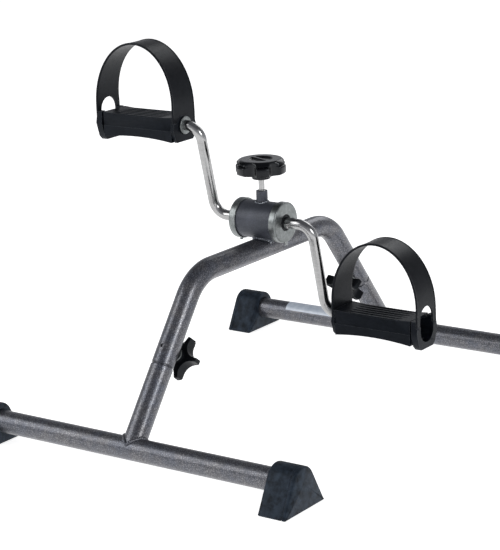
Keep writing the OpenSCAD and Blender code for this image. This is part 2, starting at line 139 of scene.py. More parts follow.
# %% [markdown]
# The pieces sit on slanted legs, on the hub and on two pedals. A place is an origin and three directions,
# and a shape worked out about its own zero goes there by one matrix product.

# %% Places
def place(points, origin, x_dir, y_dir, z_dir):
    """Carries points from a piece's own axes to the frame: origin plus each coordinate along its axis."""
    basis = np.array([x_dir, y_dir, z_dir], float)
    return np.asarray(points) @ basis + np.asarray(origin, float)


bar_low, bar_high = (np.array(v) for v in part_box("front_floor_bar"))
bar_axis = (bar_low + bar_high) / 2
tube_r = (bar_high[2] - bar_low[2]) / 2
clamp_axis = np.array(joints["front_clamp_turn"]["axis"], float)
clamp_point = np.array(joints["front_clamp_turn"]["pos_m"], float)
leg_up = np.array([0, -clamp_axis[2], clamp_axis[1]])
hub_axis_z = joints["crank_spin"]["pos_m"][2]
barrel_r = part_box("hub_barrel")[1].z - hub_axis_z
print("tube radius", round(tube_r / MM, 2), "mm; barrel radius", round(barrel_r / MM, 2), "mm")


# %% [markdown]
# A finish is a small node graph. This helper starts one: a Principled shader with its constant values set
# on its own sockets, and Object coordinates, which on these pieces are simply metres in the frame. So a
# noise scale of 1000 has features about a millimetre wide, whichever piece it is on.

# %% Material helpers
class Finish:
    """A node graph with short names for what the finishes below need."""

    def __init__(self, name, **values):
        self.mat = bpy.data.materials.new(name)
        self.mat.use_nodes = True
        self.tree = self.mat.node_tree
        self.shader = self.tree.nodes["Principled BSDF"]
        for socket, value in values.items():
            self.shader.inputs[socket.replace("_", " ")].default_value = value
        self.coords = self.tree.nodes.new("ShaderNodeTexCoord").outputs["Object"]

    def node(self, kind, inputs, **settings):
        """Adds a node; an input is a number, a colour or another node's output."""
        made = self.tree.nodes.new("ShaderNode" + kind)
        for key, value in settings.items():
            setattr(made, key, value)
        for key, value in inputs.items():
            if isinstance(value, bpy.types.NodeSocket):
                self.tree.links.new(value, made.inputs[key])
            else:
                made.inputs[key].default_value = value
        return made

    def noise(self, scale, detail=2.0, rough=0.5, at=None):
        """Soft random patches; scale is patches per metre."""
        inputs = {"Vector": at or self.coords, "Scale": scale, "Detail": detail, "Roughness": rough}
        return self.node("TexNoise", inputs).outputs["Fac"]

    def cells(self, scale, at):
        """Voronoi cells; the result is the distance to the nearest cell edge."""
        made = self.node("TexVoronoi", {"Vector": at, "Scale": scale}, feature="DISTANCE_TO_EDGE")
        return made.outputs["Distance"]

    def warped(self, scale, amount):
        """The coordinates pushed about by noise, so that a regular pattern on them turns wormy."""
        push = self.node("TexNoise", {"Vector": self.coords, "Scale": scale, "Detail": 2.0}).outputs["Color"]
        scaled = self.node("VectorMath", {0: push, "Scale": amount}, operation="SCALE").outputs["Vector"]
        return self.node("VectorMath", {0: self.coords, 1: scaled}, operation="ADD").outputs["Vector"]

    def ramp(self, fac, *stops):
        """A colour ramp; each stop is (position, grey or colour)."""
        made = self.node("ValToRGB", {"Fac": fac})
        elements = made.color_ramp.elements
        while len(elements) < len(stops):
            elements.new(0.5)
        for element, (position, tone) in zip(elements, stops):
            element.position = position
            rgb = (tone,) * 3 if np.isscalar(tone) else tuple(tone)
            element.color = (*rgb, 1.0)
        return made.outputs["Color"]

    def mix(self, fac, a, b):
        """Colour a passing into colour b: a x (1 - fac) + b x fac."""
        return self.node("MixRGB", {"Fac": fac, "Color1": a, "Color2": b}).outputs["Color"]

    def math(self, operation, a, b):
        """One arithmetic step on two numbers or outputs."""
        return self.node("Math", {0: a, 1: b}, operation=operation).outputs["Value"]

    def edge_highlight_mask(self, radius):
        """1 less the cosine between the true normal and one bevelled over radius: high at edges, for painted
        highlights.
        """
        soft = self.node("Bevel", {"Radius": radius}, samples=4).outputs["Normal"]
        geometry = self.tree.nodes.new("ShaderNodeNewGeometry").outputs["Normal"]
        dot = self.node("VectorMath", {0: soft, 1: geometry}, operation="DOT_PRODUCT").outputs["Value"]
        return self.math("SUBTRACT", 1.0, dot)

    def into(self, socket, value):
        """Links an output to one of the shader's own sockets."""
        self.tree.links.new(value, self.shader.inputs[socket])

    def bump(self, height, depth, strength):
        """Bump of the given depth in metres."""
        made = self.node("Bump", {"Height": height, "Distance": depth, "Strength": strength})
        self.into("Normal", made.outputs["Normal"])


def rgb(*bytes_):
    """A display colour, 0 to 255, as the linear colour that shaders use."""
    c = np.array(bytes_) / 255
    return tuple(np.where(c <= 0.04045, c / 12.92, ((c + 0.055) / 1.055) ** 2.4))


print("display grey 128 is", round(float(rgb(128)[0]), 3), "in linear light")

# %% [markdown]
# The frame's paint is a silver-vein finish: bright metallic flake broken by dark, wandering veins. It could
# be a texture image, but worked out from warped Voronoi cells it wraps every tube without a seam. Distance
# to a cell's edge gives the veins, larger noise clouds the metal, and the same veins stand up as bump.

# %% Paints
def vein_paint():
    f = Finish("silver_vein_paint", Metallic=0.75, Roughness=0.42, Coat_Weight=0.3, Coat_Roughness=0.16)
    edge = f.cells(520.0, f.warped(600.0, 0.0024))
    fine = f.noise(1300.0, 3.0, 0.65)
    cloud = f.noise(75.0, 3.0, 0.6)
    vein = f.ramp(edge, (0.0, 0.1), (0.12, 0.45), (0.28, 1.0))
    metal = f.ramp(fine, (0.3, rgb(92, 96, 106)), (0.7, rgb(138, 139, 145)))
    clouded = f.mix(0.5, metal, f.ramp(cloud, (0.35, rgb(98, 103, 116)), (0.65, rgb(136, 132, 130))))
    f.into("Base Color", f.mix(vein, (*rgb(54, 55, 60), 1.0), clouded))
    f.into("Roughness", f.ramp(fine, (0.3, 0.28), (0.7, 0.46)))
    f.bump(f.math("ADD", f.math("MINIMUM", edge, 0.3), f.math("MULTIPLY", fine, 0.2)), 0.0004, 0.42)
    return f.mat


def hub_paint():
    f = Finish("hub_paint", Metallic=0.45, Roughness=0.5, Coat_Weight=0.12, Coat_Roughness=0.3)
    patches = f.ramp(f.noise(90.0, 3.0), (0.3, rgb(50, 53, 61)), (0.7, rgb(72, 75, 84)))
    vein = f.cells(800.0, f.warped(700.0, 0.002))
    flecks = f.ramp(vein, (0.0, rgb(42, 44, 50)), (0.3, rgb(80, 84, 94)))
    f.into("Base Color", f.mix(0.4, patches, flecks))
    f.into("Roughness", f.ramp(f.noise(700.0, 3.0), (0.3, 0.42), (0.7, 0.58)))
    f.bump(f.noise(900.0, 3.0), 0.0002, 0.4)
    return f.mat


def weld_bead():
    f = Finish("painted_weld", Metallic=0.8, Roughness=0.3, Coat_Weight=0.3)
    lumps = f.noise(600.0, 4.0, 0.6)
    # The colour follows the lumps: painted shade in the hollows between them, painted glints on their tops.
    dark, grey, glint = rgb(34, 36, 42), rgb(88, 92, 100), rgb(190, 194, 200)
    f.into("Base Color", f.ramp(lumps, (0.3, dark), (0.5, grey), (0.7, glint)))
    f.into("Roughness", f.ramp(lumps, (0.3, 0.5), (0.7, 0.2)))
    f.bump(lumps, 0.0006, 0.8)
    return f.mat


finishes = {"tube_paint": vein_paint(), "hub_paint": hub_paint(), "weld_bead": weld_bead()}
print("paints:", ", ".join(finishes))

# %% [markdown]
# The bare metals differ mostly in roughness. The rod's bright plate is nearly a mirror with faint drawing
# lines along it; the zinc of caps and washers is dull and cloudy, with a highlight painted on sharp edges.

# %% Metals
def rod_plate():
    f = Finish("bright_plate", Metallic=1.0, Roughness=0.16)
    along = f.node("Mapping", {"Vector": f.coords, "Scale": (60.0, 900.0, 900.0)}).outputs["Vector"]
    drawn = f.noise(1.0, 3.0, at=along)
    cloud = f.noise(120.0, 3.0)
    streaks = f.ramp(drawn, (0.3, 0.29), (0.7, 0.42))
    patches = f.ramp(cloud, (0.3, 0.3), (0.7, 0.43))
    f.into("Base Color", f.mix(0.5, streaks, patches))
    f.into("Roughness", f.ramp(cloud, (0.3, 0.15), (0.75, 0.27)))
    f.bump(drawn, 0.00002, 0.3)
    return f.mat


def zinc_plate():
    f = Finish("zinc_plate", Metallic=0.95, Roughness=0.34)
    cloud = f.noise(210.0, 4.0, 0.6)
    dull = f.ramp(cloud, (0.25, rgb(106, 110, 109)), (0.55, rgb(128, 132, 132)), (0.8, rgb(150, 153, 153)))
    # A highlight painted near-white along sharp edges, as a chamfer would catch the light.
    painted_edge_highlight = f.ramp(f.edge_highlight_mask(0.0006), (0.02, 0.0), (0.3, 0.9))
    f.into("Base Color", f.mix(painted_edge_highlight, dull, (*rgb(236, 240, 240), 1.0)))
    f.into("Roughness", f.ramp(f.noise(900.0, 3.0), (0.3, 0.26), (0.7, 0.4)))
    f.bump(f.noise(1400.0, 2.0), 0.00008, 0.4)
    return f.mat


finishes |= {"zinc_plate": zinc_plate(), "rod_plate": rod_plate()}
print("with the metals:", ", ".join(finishes))

# %% [markdown]
# Black plastics are told apart by their skin. Pedals and straps have a fine moulded grain; the tension
# knob is polished; the star knobs are satin; the feet are rubber, bloomed with faint grey patches. Each
# has a highlight painted paler along its edges, most on pedals and straps. Their sheen is kept weak and
# slightly blue, because a black plastic that mirrors a white room in full turns grey.

# %% Plastics and rubber
def moulded(name, dark, light, rough, grain, coat=0.0, edge_highlight_strength=0.35):
    """A black moulded skin: clouded colour, fine grain as bump, and a highlight painted paler along its edges."""
    f = Finish(name, Roughness=rough, Specular_IOR_Level=0.13, Specular_Tint=(0.78, 0.88, 1.0, 1.0),
               Coat_Weight=coat, Coat_Roughness=0.1)
    tone = f.ramp(f.noise(130.0, 4.0, 0.6), (0.3, dark), (0.7, light))
    # A highlight painted paler along the edges, as a rounded edge would catch the light.
    painted_edge_highlight = f.ramp(f.edge_highlight_mask(0.0006), (0.02, 0.0), (0.35, edge_highlight_strength))
    f.into("Base Color", f.mix(painted_edge_highlight, tone, (*rgb(112, 116, 122), 1.0)))
    f.into("Roughness", f.ramp(f.noise(500.0, 3.0), (0.3, rough - 0.06), (0.7, rough + 0.08)))
    f.bump(f.noise(grain, 2.0), 0.00012, 0.45)
    return f.mat


def label_film():
    f = Finish("blank_film", Roughness=0.3, Coat_Weight=0.4)
    f.into("Base Color", f.ramp(f.noise(150.0, 3.0), (0.3, rgb(178, 188, 202)), (0.7, rgb(204, 212, 222))))
    f.bump(f.noise(300.0, 2.0), 0.0001, 0.4)
    return f.mat


finishes |= {
    "pedal_plastic": moulded("pedal_skin", rgb(5, 7, 11), rgb(13, 16, 22), 0.36, 2200.0),
    "strap_plastic": moulded("strap_skin", rgb(8, 9, 12), rgb(18, 19, 22), 0.34, 1800.0),
    "gloss_knob": moulded("polished_knob", rgb(4, 4, 6), rgb(9, 10, 12), 0.22, 600.0, coat=0.3, edge_highlight_strength=0.1),
    "satin_knob": moulded("satin_knob", rgb(4, 5, 7), rgb(11, 12, 15), 0.38, 1500.0, edge_highlight_strength=0.12),
    "foot_rubber": moulded("foot_rubber", rgb(7, 10, 15), rgb(46, 55, 66), 0.45, 1100.0, edge_highlight_strength=0.1),
    "black_nylon": moulded("black_nylon", rgb(20, 21, 23), rgb(28, 29, 31), 0.4, 1500.0),
    "pale_nylon": moulded("pale_nylon", rgb(215, 212, 200), rgb(228, 225, 214), 0.45, 900.0, edge_highlight_strength=0.0),
    "brake_fibre": moulded("brake_fibre", rgb(96, 66, 44), rgb(128, 92, 64), 0.75, 900.0, edge_highlight_strength=0.0),
    "label_film": label_film(),
}
print("finishes", len(finishes))

# %% [markdown]
# Every finish is made once and kept under the name that the record uses for its material slot. Each node of
# the frame gets its own here, and the new pieces take theirs from the same table.

# %% Finishes on the frame's own nodes
for part in frame["record"]["subparts"]:
    mesh = nodes[part["node"]].data
    mesh.materials.clear()
    mesh.materials.append(finishes[part["material_slot"]])

# %% [markdown]
# Real edges are never knife sharp, and a small radius is what catches the light. An outline is given by
# its corners, and this helper puts a short curve in place of each one, which never takes up more than about
# half of an edge.

# %% Outlines
longest_share = 0.48


def rounded(corners, radius, steps=5):
    """A closed outline; each corner is a quadratic curve from radius before it to radius after it."""
    p = np.asarray(corners, float)
    radius = np.broadcast_to(np.asarray(radius, float), len(p))[:, None]
    before, after = np.roll(p, 1, 0) - p, np.roll(p, -1, 0) - p
    len_b, len_a = (np.linalg.norm(v, axis=1, keepdims=True) for v in (before, after))
    a = p + before / len_b * np.minimum(radius, len_b * longest_share)
    b = p + after / len_a * np.minimum(radius, len_a * longest_share)
    t = np.linspace(0, 1, steps)[None, :, None]
    curve = (1 - t) ** 2 * a[:, None] + 2 * t * (1 - t) * p[:, None] + t**2 * b[:, None]
    return curve.reshape(-1, 2)


def resample(path, count):
    """An open path as count points spread evenly along its length."""
    path = np.asarray(path, float)
    run = np.r_[0, np.cumsum(np.linalg.norm(np.diff(path, axis=0), axis=1))]
    at = np.linspace(0, run[-1], count)
    return np.stack([np.interp(at, run, path[:, k]) for k in range(path.shape[1])], -1)


def inset(outline, depth):
    """A closed outline moved inwards: each point goes along the normal of the line between its neighbours."""
    along = np.roll(outline, -1, 0) - np.roll(outline, 1, 0)
    normal = np.stack([-along[:, 1], along[:, 0]], -1) / np.linalg.norm(along, axis=1, keepdims=True)
    x, y = outline.T
    turn = np.sign(np.sum(x * np.roll(y, -1) - y * np.roll(x, -1)))
    return outline + normal * depth * turn


def arc(centre, radius, start, end, count):
    """Points on an arc, from angle start to angle end in degrees."""
    a = np.radians(np.linspace(start, end, count))
    return np.stack([centre[0] + radius * np.cos(a), centre[1] + radius * np.sin(a)], -1)


print("a square with rounded corners has", len(rounded([(0, 0), (9, 0), (9, 9), (0, 9)], 1)), "points")

# %% [markdown]
# Caps, bushes, washers and clips are turned shapes: one closed outline, carried once round an axis. A Screw
# modifier would do it too, but as an array it is one line of sines and cosines, and closed both ways.

# %% Turned shapes
def turned(outline, segments=96):
    """A closed outline of (height, radius) carried round: (h, r) goes to (h, r cos, r sin)."""
    h, r = np.asarray(outline, float).T[:, :, None]
    a = np.linspace(0, TURN, segments, endpoint=False)
    points = np.stack([h * np.ones_like(a), r * np.cos(a), r * np.sin(a)], -1)
    return shell(points, wrap_rows=True)


def on_axis(part, origin, direction):
    """Stands a turned shape, whose height is its first coordinate, at origin along direction."""
    d = np.asarray(direction, float)
    side = np.cross(d, (0, 0, 1.0)) if abs(d[2]) < 0.9 else np.array([1.0, 0, 0])
    side /= np.linalg.norm(side)
    return place(part[0], origin, d, side, np.cross(d, side)), part[1]


# %% [markdown]
# The hub is closed by two pressed caps, each with a small lug bent down at its foot, and the crank turns in
# a dark nylon bush that shows as a ring round the rod. Both are turned, with a corner radius of its own at
# each corner: the cap's outer corner is the widest, as sheet metal is when it is pressed over a die.

# %% Hub caps and bushes
hub_end_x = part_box("right_hub_cap")[1].x
rim_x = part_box("right_hub_cap")[0].x
cap_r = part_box("right_hub_cap")[1].z - hub_axis_z
rod_r = 5.25 * MM
hole_r = 8.25 * MM
cap_sheet = 1.5 * MM
sheet_x = hub_end_x - cap_sheet
cap_corners = np.array([0.2, 0.5, 1.4, 0.5, 0.2, 0.2]) * MM
lug_w, lug_corner = 4 * MM, 0.8 * MM
bore_r, neck_r, flange_r = rod_r + 0.05 * MM, hole_r - 0.15 * MM, barrel_r - 2 * MM
flange_x, nose_x = sheet_x - 0.1 * MM, hub_end_x - 0.6 * MM

for side, sign in (("left", -1), ("right", 1)):
    cap = rounded([(rim_x, barrel_r), (rim_x, cap_r), (hub_end_x, cap_r), (hub_end_x, hole_r),
                   (sheet_x, hole_r), (sheet_x, barrel_r)], cap_corners)
    lug_low, lug_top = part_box(f"{side}_hub_cap")[0].z - hub_axis_z, MM - cap_r
    lug_line = rounded([(-lug_w / 2, lug_top), (lug_w / 2, lug_top), (lug_w / 2, lug_low),
                        (-lug_w / 2, lug_low)], lug_corner)
    lug = np.stack([np.insert(lug_line, 0, x, axis=1) for x in (sheet_x, hub_end_x - 0.1 * MM)])
    parts = [turned(cap), shell(lug, caps=(True, True))]
    parts = [(v * (sign, 1, 1) + (0, 0, hub_axis_z), f) for v, f in parts]
    piece(f"{side}_cap", parts, finishes["zinc_plate"], "frame", [f"{side}_hub_cap"])
    bush_x = abs(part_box(f"{side}_hub_bush")[0 if sign > 0 else 1].x)
    bush = rounded([(bush_x, bore_r), (bush_x, flange_r), (flange_x, flange_r), (flange_x, neck_r),
                    (nose_x, neck_r), (nose_x, bore_r)], 0.4 * MM)
    v, f = turned(bush)
    piece(f"{side}_bush", [(v * (sign, 1, 1) + (0, 0, hub_axis_z), f)], finishes["black_nylon"], "frame",
          [f"{side}_hub_bush"])

# %% [markdown]
# A pedal is held on its spindle between a washer at its inner end and a push-on clip at its outer end. Both
# ride on the crank, because the pedal spins between them. The washer is very slightly dished, as a punched
# one is. The clip has a flat brim and a domed crown that closes over the rod's end, so its outline reaches
# the axis.

# %% Washers and end clips
washer_r, brim_r, brim_t = 9 * MM, 8 * MM, 1.2 * MM
clip_corners = np.array([0.2, 0.4, 0.4, 0.8, 1.5, 1.5, 0.0, 0.0, 0.2]) * MM
for side, sign in (("left", -1), ("right", 1)):
    spindle = np.array(joints[f"{side}_pedal_spin"]["pos_m"])
    outwards = np.array([sign, 0, 0.0])
    near, far = sorted(abs(corner.x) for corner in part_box(f"{side}_pedal_washer"))
    ring = rounded([(near, rod_r), (near + 0.3 * MM, washer_r), (far, washer_r), (far - 0.2 * MM, rod_r)],
                   0.35 * MM)
    piece(f"{side}_spindle_washer", [on_axis(turned(ring), spindle * (0, 1, 1), outwards)],
          finishes["zinc_plate"], "crank", [f"{side}_pedal_washer"])
    near, far = sorted(abs(corner.x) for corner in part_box(f"{side}_end_clip"))
    clip = rounded([(near, rod_r), (near, brim_r), (near + brim_t, brim_r),
                    (near + 1.8 * MM, rod_r + 1.3 * MM), (far - MM, rod_r + 0.9 * MM), (far, 2 * MM),
                    (far, 0.0), (far - MM, 0.0), (far - MM, rod_r)], clip_corners)
    piece(f"{side}_spindle_clip", [on_axis(turned(clip), spindle * (0, 1, 1), outwards)],
          finishes["zinc_plate"], "crank", [f"{side}_end_clip"])

# %% [markdown]
# A weld bead is a rope of small overlapping puddles along the line where two tubes meet. That line has a
# formula. Where a tube stands on an equal one it is (r cos, r sin, r |cos|); where the barrel lies across
# the arch, each point of the line is on both circles at once. A small circle is carried along it, and its
# radius swells and shrinks by a wave for the ripples and another, slower one for the welder's hand.

# %% Weld bead
ripple_length = 1.9 * MM
slow_waves, quick_waves, quick_share = 3, 7, 0.6
path_points = 240


def bead(path, radius, ripple, sway, seed, sides=16):
    """A round bead along a closed path: radius times (1 + ripples + sway), on normals to the path."""
    ahead, behind = np.roll(path, -1, 0), np.roll(path, 1, 0)
    tangent = (ahead - behind) / np.linalg.norm(ahead - behind, axis=1, keepdims=True)
    outward_dir = path - path.mean(0)
    first = np.cross(tangent, outward_dir)
    first /= np.linalg.norm(first, axis=1, keepdims=True)
    second = np.cross(tangent, first)
    run = np.cumsum(np.linalg.norm(path - behind, axis=1))
    waves = round(run[-1] / ripple_length)
    phase = TURN * run / run[-1]
    hand = np.sin(slow_waves * phase + seed) + quick_share * np.sin(quick_waves * phase + 2 * seed)
    size = radius * (1 + ripple * np.abs(np.sin(waves * phase / 2)) + sway * hand)
    a = np.linspace(0, TURN, sides, endpoint=False)
    points = (path[:, None] + size[:, None, None] * (np.cos(a)[None, :, None] * first[:, None]
                                                    + np.sin(a)[None, :, None] * second[:, None]))
    return shell(points, wrap_rows=True)


a = np.linspace(0, TURN, path_points, endpoint=False)
bead_lift = 1.03
foot_of_stub = np.stack([tube_r * np.cos(a), tube_r * np.sin(a), tube_r * np.abs(np.cos(a))], -1) * bead_lift
for end, turn in (("front", 1), ("rear", -1)):
    line = place(foot_of_stub, bar_axis * (0, 1, 1), (1, 0, 0), clamp_axis, leg_up) * (turn, turn, 1)
    rope = bead(line, radius=1.5 * MM, ripple=0.2, sway=0.08, seed=1.0 + turn)
    piece(f"{end}_bead", [rope], finishes["tube_paint"], "frame", [f"{end}_stub_weld"])

# %% [markdown]
# The barrel's bead crosses the arch in front of the barrel and behind it, and at the arch's two sides the
# line is pulled out and down a little to close round. Its points are then spread evenly, so that the
# ripples keep one length. The boss on the barrel has a finer bead, where an upright tube meets a lying one.

# %% Beads on the hub
arch_axis_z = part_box("arch_tube")[1].z - tube_r
reach, end_share, end_pull = 7.6 * MM, 0.06, 2.2 * MM
x = reach * np.cos(a)
height = arch_axis_z + np.sqrt(tube_r**2 - x**2)
y = np.sqrt(np.maximum(barrel_r**2 - (hub_axis_z - height) ** 2, 0)) * np.sign(np.sin(a))
seat = np.stack([x, np.where(np.abs(np.sin(a)) < end_share, 0, y), height], -1)
side_x = np.abs(np.cos(a)) ** 8 * end_pull * np.sign(np.cos(a))
seat += np.stack([side_x, 0 * a, -np.abs(side_x)], -1)
seat_line = resample(np.vstack([seat, seat[:1]]), path_points + 1)[:-1]
rope = bead(seat_line, radius=2.4 * MM, ripple=0.35, sway=0.18, seed=2.0)
piece("seat_bead", [rope], finishes["weld_bead"], "frame", ["hub_weld"])

boss_low, boss_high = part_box("tension_boss")
boss_r = (boss_high.x - boss_low.x) / 2 + 0.2 * MM
boss_foot = np.stack([boss_r * np.cos(a), boss_r * np.sin(a),
                      hub_axis_z + np.sqrt(barrel_r**2 - (boss_r * np.sin(a)) ** 2)], -1)
rope = bead(boss_foot, radius=1.1 * MM, ripple=0.35, sway=0.15, seed=3.0)
piece("boss_bead", [rope], finishes["weld_bead"], "frame", [])

# %% [markdown]
# The rubber feet are thick-walled shoes: slanting sides run tangent into a round top, with every edge
# eased. Rings of the same outline, a little smaller at each end, make the eased edges, and a dip in size
# near the outer end makes the moulded groove there. The first rings line the hole that takes the bar.

# %% Feet
foot_low, foot_high = (np.array(v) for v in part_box("front_right_foot"))
foot_half = (foot_high[1] - foot_low[1]) / 2
top_r = 16 * MM
top_z = foot_high[2] - top_r
corner_z = 2 * MM
tangent = np.degrees(np.arccos(top_r / np.hypot(foot_half, top_z - corner_z))
                     - np.arctan2(top_z - corner_z, foot_half))
base = rounded([(-foot_half, corner_z), (-foot_half, 0), (foot_half, 0), (foot_half, corner_z)],
               np.array([0.2, 2.4, 2.4, 0.2]) * MM)
foot_line = np.vstack([base, arc((0, top_z), top_r, tangent, 180 - tangent, 40)])
middle_yz = np.array([0, bar_axis[2]])
spoke = (foot_line - middle_yz) / np.linalg.norm(foot_line - middle_yz, axis=1, keepdims=True)
hole_depth, mouth_depth, mouth_flare = 25 * MM, 0.6 * MM, 0.8 * MM
stations = np.array([(0, 1.3), (0.3, 0.7), (0.9, 0.25), (1.8, 0), (14, 0), (24.2, 0), (24.8, 0.5),
                     (25.4, 0.5), (26.0, 0), (28.2, 0), (29.1, 0.3), (29.7, 0.8), (30, 1.5)]) * MM
rings = [np.column_stack([np.full(len(spoke), x), middle_yz + spoke * tube_r])
         for x in (hole_depth, mouth_depth)]
rings.append(np.column_stack([np.zeros(len(spoke)), middle_yz + spoke * (tube_r + mouth_flare)]))
rings += [np.column_stack([np.full(len(spoke), x), inset(foot_line, d)]) for x, d in stations]
foot_rings = np.stack(rings)
foot_rings[:, :, 2] = np.maximum(foot_rings[:, :, 2], 0)
for end, along in (("front", 1), ("rear", -1)):
    for side, sign in (("left", -1), ("right", 1)):
        v, f = shell(foot_rings + (foot_low[0], 0, 0), caps=(True, True))
        v = v * (sign, 1, 1) + (0, along * bar_axis[1], 0)
        piece(f"{end}_{side}_shoe", [(v, f)], finishes["foot_rubber"], "frame", [f"{end}_{side}_foot"], 30)

# %% [markdown]
# The knobs are lobed. Round scallops cut into a disc give an outline with sharp cusps; a soft minimum of
# disc and scallops, the logarithm of a sum of exponentials, gives the same outline with rounded lobes. The
# disc's radius changes from ring to ring, so the scallops fade out by themselves under the smaller top.

# %% Knob helpers
def lobed(radius, lobes, turn, cut_at, cut_r, soft, angle):
    """Disc radius and scallop radius by soft minimum; a scallop is a circle of cut_r about cut_at."""
    period = TURN / lobes
    off = (angle - np.radians(turn)) % period - period / 2
    inside = np.maximum(cut_r**2 - (cut_at * np.sin(off)) ** 2, 0)
    cut = np.where(inside > 0, cut_at * np.cos(off) - np.sqrt(inside), cut_at)
    return -soft * np.log(np.exp(-radius / soft) + np.exp(-cut / soft))


def knob(rings, lobes, turn, cut_at, cut_r, soft, segments=240, dish=None):
    """A lobed knob: rings are (mm of height, mm of radius, whether lobed); a dish may press its top down."""
    angle = np.linspace(0, TURN, segments, endpoint=False)
    rows = []
    for height, radius, is_lobed in np.asarray(rings) * (MM, MM, 1):
        shape = lobed(radius, lobes, turn, cut_at * MM, cut_r * MM, soft * MM, angle) if is_lobed else radius
        x, y = shape * np.cos(angle), shape * np.sin(angle)
        rows.append(np.stack([x, y, height + 0 * x], -1))
    points = np.stack(rows)
    if dish is not None:
        points[:, :, 2] = dish(points)
    return shell(points, caps=(True, True))


def bevel_rings(low, high, radius, low_edge, high_edge, steps=6):
    """Lobed rings up a side whose edges are quarter rounds: 1 - sin along, 1 - cos inwards."""
    q = np.radians(np.linspace(0, 90, steps))
    lower = [(low + low_edge * (1 - np.sin(a)), radius - low_edge * (1 - np.cos(a)), 1) for a in q[::-1]]
    upper = [(high - high_edge * (1 - np.sin(a)), radius - high_edge * (1 - np.cos(a)), 1) for a in q]
    return lower + upper


print("rings up a rounded side:", len(bevel_rings(0, 10, 20, 1, 1)))

# %% [markdown]
# The resistance knob has a neck, a lobed disc and a low dome with a dish pressed into it, crossed by a rib
# for the fingers. The dish is not a separate cut: the top's rings lie close together, and the points that
# fall inside the dish and off the rib are simply lowered, with a smooth wall between.

# %% Resistance knob
neck_low, knob_high = (c.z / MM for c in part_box("tension_knob"))
knob_r = (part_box("tension_knob")[1].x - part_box("tension_knob")[0].x) / 2 / MM + 0.2
disc_low = neck_low + 5.9
dish_r, dish_depth, dish_wall = 12.6 * MM, 1.6 * MM, 1.6 * MM
rib_half, rib_turn = 1.0 * MM, np.radians(-20)


def tension_dish(points):
    """Lowers the top in a circle, off its rib, by depth x fade squared x (3 - 2 fade)."""
    x, y, z = points[..., 0], points[..., 1], points[..., 2]
    across = np.abs(-x * np.sin(rib_turn) + y * np.cos(rib_turn))
    in_circle = np.clip((dish_r - np.hypot(x, y)) / dish_wall, 0, 1)
    fade = in_circle * np.clip((across - rib_half) / dish_wall, 0, 1)
    return z - np.where(z > (knob_high - 0.5) * MM, dish_depth * fade**2 * (3 - 2 * fade), 0)


rings = [(neck_low, 3.2, 0), (neck_low, 8.4, 0), (neck_low + 0.3, 9.1, 0), (neck_low + 1, 9.3, 0),
         (disc_low - 0.8, 9.3, 0), (disc_low - 0.1, 10.2, 0), (disc_low, 12, 0), (disc_low, 19, 1)]
rings += bevel_rings(disc_low, disc_low + 9.2, knob_r, 2.2, 2.0)
rings += [(disc_low + 10.6, 24.9, 1), (disc_low + 12.2, 23.8, 1),
          (knob_high - 0.9, 22.4, 1), (knob_high - 0.25, 21.4, 1)]
rings += [(knob_high, r, 1 if r > 19 else 0) for r in (20.4, 19.2, 16.5, 14.2, 13.2)]
rings += [(knob_high, r, 0) for r in np.arange(12.8, 0.3, -0.4)]
scalloped = knob(rings, lobes=6, turn=-50.5, cut_at=30.5, cut_r=9.0, soft=0.45, dish=tension_dish)
piece("resistance_knob", [scalloped], finishes["gloss_knob"], "tension", ["tension_knob"], 50)

# %% [markdown]
# The two star knobs are the same moulding: a short neck, five arms with deep scallops between them, and a
# hollow round a middle hub. Each is worked out upright about its own zero and then placed on its leg's
# clamp axis, with the zinc ring that it presses on the leg. They stand at different angles, because a screw
# stops where it is tight.

# %% Star knobs
neck_end, star_low, star_high, star_r = 13.4, 16.5, 28.0, 22.3
face_low, face_high, face_in, face_out = 11.4, 12.9, 4.1, 7.8
rings = [(neck_end, 4.2, 0), (neck_end, 7.0, 0), (neck_end + 0.5, 7.5, 0),
         (star_low - 0.6, 7.5, 0), (star_low - 0.1, 8.2, 0), (star_low, 10, 0)]
rings += bevel_rings(star_low, star_high - 2.6, star_r, 1.5, 1.0)
rings += [(star_high - 1.6, star_r - 1.6, 1), (star_high - 0.6, star_r - 3.0, 1),
          (star_high - 0.1, star_r - 4.0, 1), (star_high, star_r - 5.0, 1),
          (star_high - 0.2, star_r - 6.4, 1), (star_high - 1.6, 13.4, 1), (star_high - 2.0, 10.4, 1),
          (star_high - 2.0, 8.4, 0), (star_high - 1.4, 7.4, 0), (star_high - 0.2, 6.8, 0),
          (star_high, 6.0, 0), (star_high, 3.0, 0)]
ring_line = rounded([(face_low, face_in), (face_low, face_out), (face_high, face_out), (face_high, face_in)],
                    0.35) * MM

for end, turn, first_gap in (("front", 1, 73), ("rear", -1, 55)):
    v, f = knob(rings, lobes=5, turn=first_gap, cut_at=23.0, cut_r=11.4, soft=1.0)
    origin = clamp_point * (1, turn, 1)
    v = place(v, origin, (turn, 0, 0), -leg_up * (1, turn, 1), clamp_axis * (1, turn, 1))
    piece(f"{end}_star_knob", [(v, f)], finishes["satin_knob"], f"{end}_clamp", [f"{end}_clamp_knob"], 50)
    piece(f"{end}_clamp_ring_face", [on_axis(turned(ring_line), origin, clamp_axis * (1, turn, 1))],
          finishes["zinc_plate"], f"{end}_clamp_ring", [f"{end}_clamp_washer"])

# %% [markdown]
# A thread is a cylinder whose radius follows a wave, and the wave's phase turns once with each pitch of
# height. One grid of angle and height holds it, with ten rows to a pitch. The tension screw is threaded
# only as far as its boss, and has a plain shank above; the clamp screws are threaded all along.

# %% Threaded screws
rows_per_pitch, screw_sides = 10, 36


